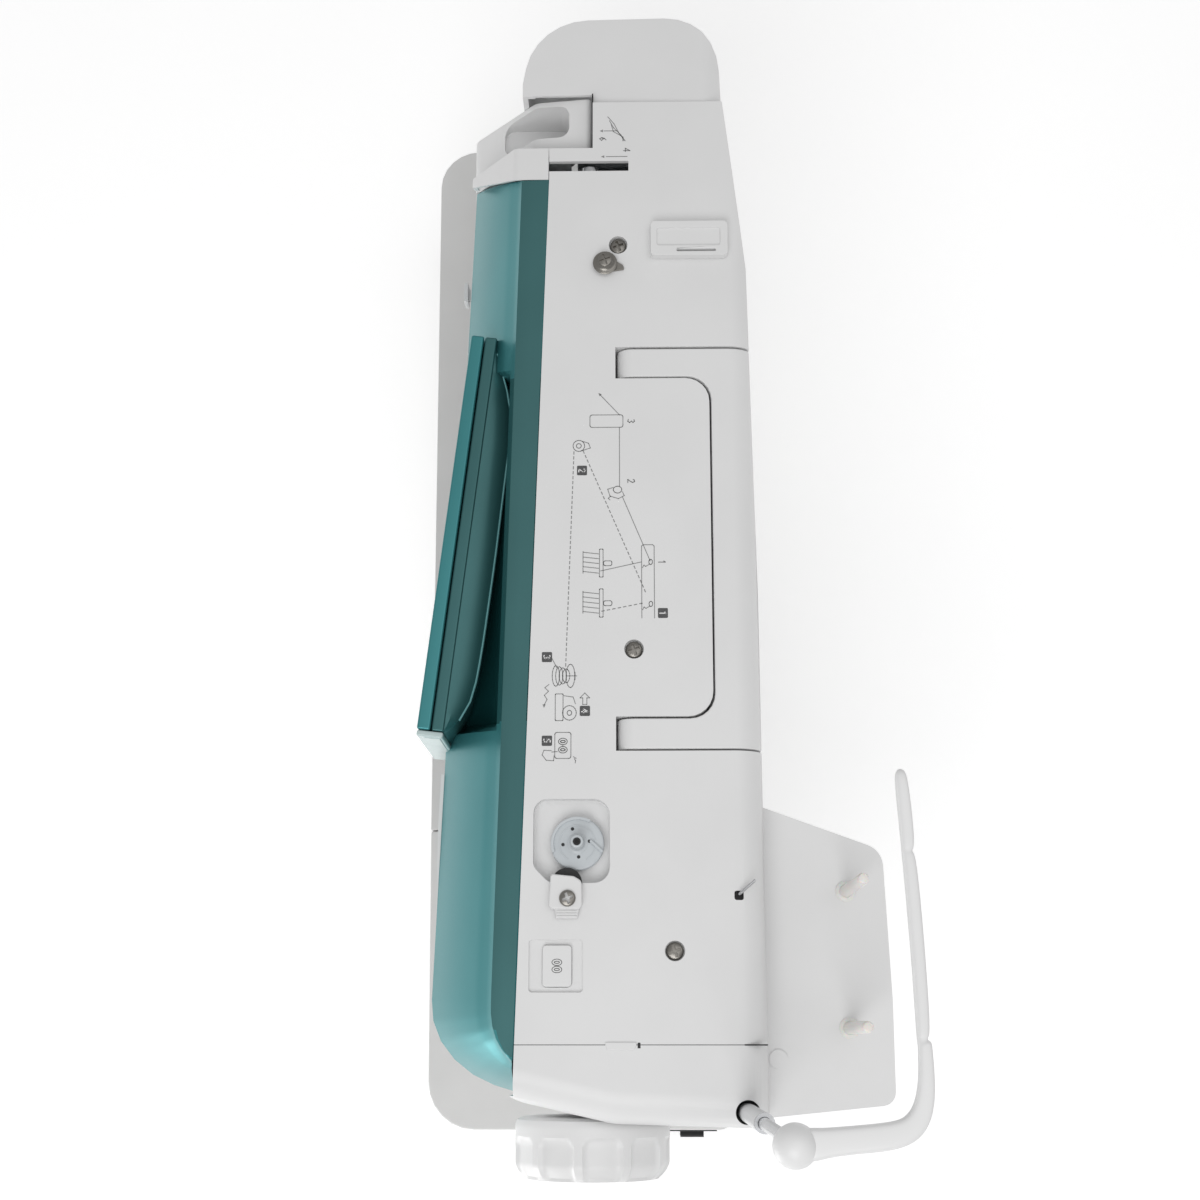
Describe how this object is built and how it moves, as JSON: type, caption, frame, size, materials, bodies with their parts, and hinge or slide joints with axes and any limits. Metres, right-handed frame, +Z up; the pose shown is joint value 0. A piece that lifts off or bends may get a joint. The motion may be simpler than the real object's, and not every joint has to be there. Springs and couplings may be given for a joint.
{
  "type": "sewing machine",
  "caption": "Computerised free-arm sewing machine with a teal front panel, folding carrying handle, angled screen, bobbin winder and a telescopic two-spool thread stand.",
  "frame": {"origin": "on the table, under the middle of the machine's bounding box", "axes": "+X along the bed towards the handwheel, +Y towards the back, +Z up"},
  "size_m": [0.561, 0.2219, 0.5325],
  "materials": {
    "white_cover": "satin, moulded",
    "bed_plastic": "fine satin",
    "teal_plastic": "metallic lacquer",
    "dark_teal_plastic": "metallic lacquer",
    "screen_glass": "polished, dark",
    "grey_cap": "smoky translucent",
    "plate_steel": "brushed",
    "bright_steel": "polished",
    "cast_frame": "as cast",
    "rubber": "matt",
    "black_plastic": "matt",
    "motor_metal": "painted",
    "board": "solder resist",
    "bush_bronze": "sintered",
    "clear_plastic": "clear",
    "grey_plastic": "satin",
    "pin_plastic": "satin"
  },
  "bodies": {
    "housing": {"base_plate": "plate_steel", "rubber_feet": "rubber", "base_shell": "bed_plastic", "free_arm_cover": "white_cover", "needle_plate": "plate_steel", "chassis": "cast_frame", "front_cover": "white_cover", "rear_cover": "white_cover", "top_cover": "white_cover", "front_panel": "teal_plastic", "head_nose": "white_cover", "face_cover": "white_cover", "end_cover": "white_cover", "spool_platform": "white_cover", "spool_pins": "pin_plastic", "screen_bezel": "teal_plastic", "screen_rear_shell": "dark_teal_plastic", "screen_glass": "screen_glass", "screen_end_cap": "grey_cap", "thread_guide_box": "white_cover", "pretension_disc": "bright_steel", "wire_guide": "bright_steel", "cover_screws": "bright_steel", "mast_socket": "black_plastic", "motor": "motor_metal", "circuit_board": "board", "power_inlet": "black_plastic", "lamp_lens": "clear_plastic", "tension_unit": "bright_steel", "bobbin_holder": "black_plastic", "drive_belt": "rubber", "shaft_bushes": "bush_bronze"},
    "drive": {"handwheel": "white_cover", "upper_shaft": "bright_steel"},
    "motor_rotor": {"motor_pulley": "black_plastic"},
    "take_up": {"take_up_lever": "bright_steel"},
    "needle_unit": {"needle_bar": "bright_steel", "needle": "bright_steel"},
    "presser_unit": {"presser_bar": "bright_steel", "presser_foot": "bright_steel"},
    "presser_lifter": {"presser_lever": "grey_plastic"},
    "feed": {"feed_dogs": "bright_steel"},
    "hook": {"rotary_hook": "bright_steel"},
    "bobbin": {"bobbin": "clear_plastic"},
    "bobbin_lid": {"bobbin_cover": "clear_plastic"},
    "table": {"extension_table": "bed_plastic"},
    "handle": {"carry_handle": "white_cover"},
    "winder": {"winder_spindle": "grey_plastic"},
    "stopper": {"winder_stopper": "white_cover"},
    "winder_key": {"winder_button": "white_cover"},
    "mast_lower": {"mast_tube": "bright_steel"},
    "mast_upper": {"mast_arm": "white_cover"},
    "start_stop_key": {"start_stop_button": "teal_plastic"},
    "reverse_key": {"reverse_button": "grey_plastic"},
    "needle_key": {"needle_position_button": "grey_plastic"},
    "cutter_key": {"thread_cutter_button": "grey_plastic"},
    "speed_knob": {"speed_slider": "grey_plastic"},
    "rocker": {"power_switch": "black_plastic"}
  },
  "joints": [
    {"name": "handwheel_turn", "type": "hinge", "parent": "housing", "child": "drive", "pos_m": [0.267, -0.0195, 0.25], "axis": [1, 0, 0], "continuous": true},
    {"name": "motor_turn", "type": "hinge", "parent": "housing", "child": "motor_rotor", "pos_m": [0.2055, -0.0195, 0.06], "axis": [1, 0, 0], "continuous": true},
    {"name": "hook_turn", "type": "hinge", "parent": "housing", "child": "hook", "pos_m": [-0.196, -0.0425, 0.082], "axis": [0, 0, 1], "continuous": true},
    {"name": "take_up_turn", "type": "hinge", "parent": "housing", "child": "take_up", "pos_m": [-0.176, -0.02, 0.26], "axis": [1, 0, 0], "range_deg": [-26, 26]},
    {"name": "needle_bar_slide", "type": "slide", "parent": "housing", "child": "needle_unit", "axis": [0, 0, 1], "range_m": [-0.031, 0]},
    {"name": "presser_lift", "type": "hinge", "parent": "housing", "child": "presser_lifter", "pos_m": [-0.196, 0.019, 0.208], "axis": [1, 0, 0], "range_deg": [0, 60]},
    {"name": "presser_bar_slide", "type": "slide", "parent": "housing", "child": "presser_unit", "axis": [0, 0, 1], "range_m": [0, 0.0069]},
    {"name": "feed_shift", "type": "slide", "parent": "housing", "child": "feed", "axis": [0, 1, 0], "range_m": [-0.002, 0.002]},
    {"name": "bobbin_turn", "type": "hinge", "parent": "housing", "child": "bobbin", "pos_m": [-0.196, -0.0425, 0.09], "axis": [0, 0, 1], "continuous": true},
    {"name": "bobbin_cover_lift", "type": "slide", "parent": "housing", "child": "bobbin_lid", "axis": [0, 0, 1], "range_m": [0, 0.03]},
    {"name": "table_slide", "type": "slide", "parent": "housing", "child": "table", "axis": [-1, 0, 0], "range_m": [0, 0.2]},
    {"name": "handle_fold", "type": "hinge", "parent": "housing", "child": "handle", "pos_m": [0.0065, -0.0005, 0.293], "axis": [1, 0, 0], "range_deg": [0, 92]},
    {"name": "winder_turn", "type": "hinge", "parent": "housing", "child": "winder", "pos_m": [0.1392, -0.025, 0.29], "axis": [0, 0, 1], "continuous": true},
    {"name": "stopper_slide", "type": "slide", "parent": "housing", "child": "stopper", "axis": [-1, 0, 0], "range_m": [0, 0.005]},
    {"name": "winder_button_press", "type": "slide", "parent": "housing", "child": "winder_key", "axis": [0, 0, -1], "range_m": [0, 0.001], "stiffness_N_per_m": 500},
    {"name": "mast_tube_slide", "type": "slide", "parent": "housing", "child": "mast_lower", "axis": [0, 0, 1], "range_m": [-0.1, 0]},
    {"name": "mast_rod_slide", "type": "slide", "parent": "mast_lower", "child": "mast_upper", "axis": [0, 0, 1], "range_m": [-0.11, 0]},
    {"name": "start_stop_press", "type": "slide", "parent": "housing", "child": "start_stop_key", "axis": [0, 1, 0], "range_m": [0, 0.0015], "stiffness_N_per_m": 500},
    {"name": "reverse_press", "type": "slide", "parent": "housing", "child": "reverse_key", "axis": [0, 1, 0], "range_m": [0, 0.0015], "stiffness_N_per_m": 500},
    {"name": "needle_position_press", "type": "slide", "parent": "housing", "child": "needle_key", "axis": [0, 1, 0], "range_m": [0, 0.0015], "stiffness_N_per_m": 500},
    {"name": "thread_cutter_press", "type": "slide", "parent": "housing", "child": "cutter_key", "axis": [0, 1, 0], "range_m": [0, 0.0015], "stiffness_N_per_m": 500},
    {"name": "speed_slide", "type": "slide", "parent": "housing", "child": "speed_knob", "axis": [1, 0, 0], "range_m": [0, 0.028]},
    {"name": "power_rock", "type": "hinge", "parent": "housing", "child": "rocker", "pos_m": [0.2635, 0.029, 0.06], "axis": [0, 1, 0], "range_deg": [-7, 7]}
  ],
  "couplings": [
    {"joint": "motor_turn", "follows": "handwheel_turn", "ratio": 2.75},
    {"joint": "hook_turn", "follows": "handwheel_turn", "ratio": 2},
    {"joint": "presser_lift", "follows": "presser_bar_slide", "rad_per_m": 151.5}
  ]
}
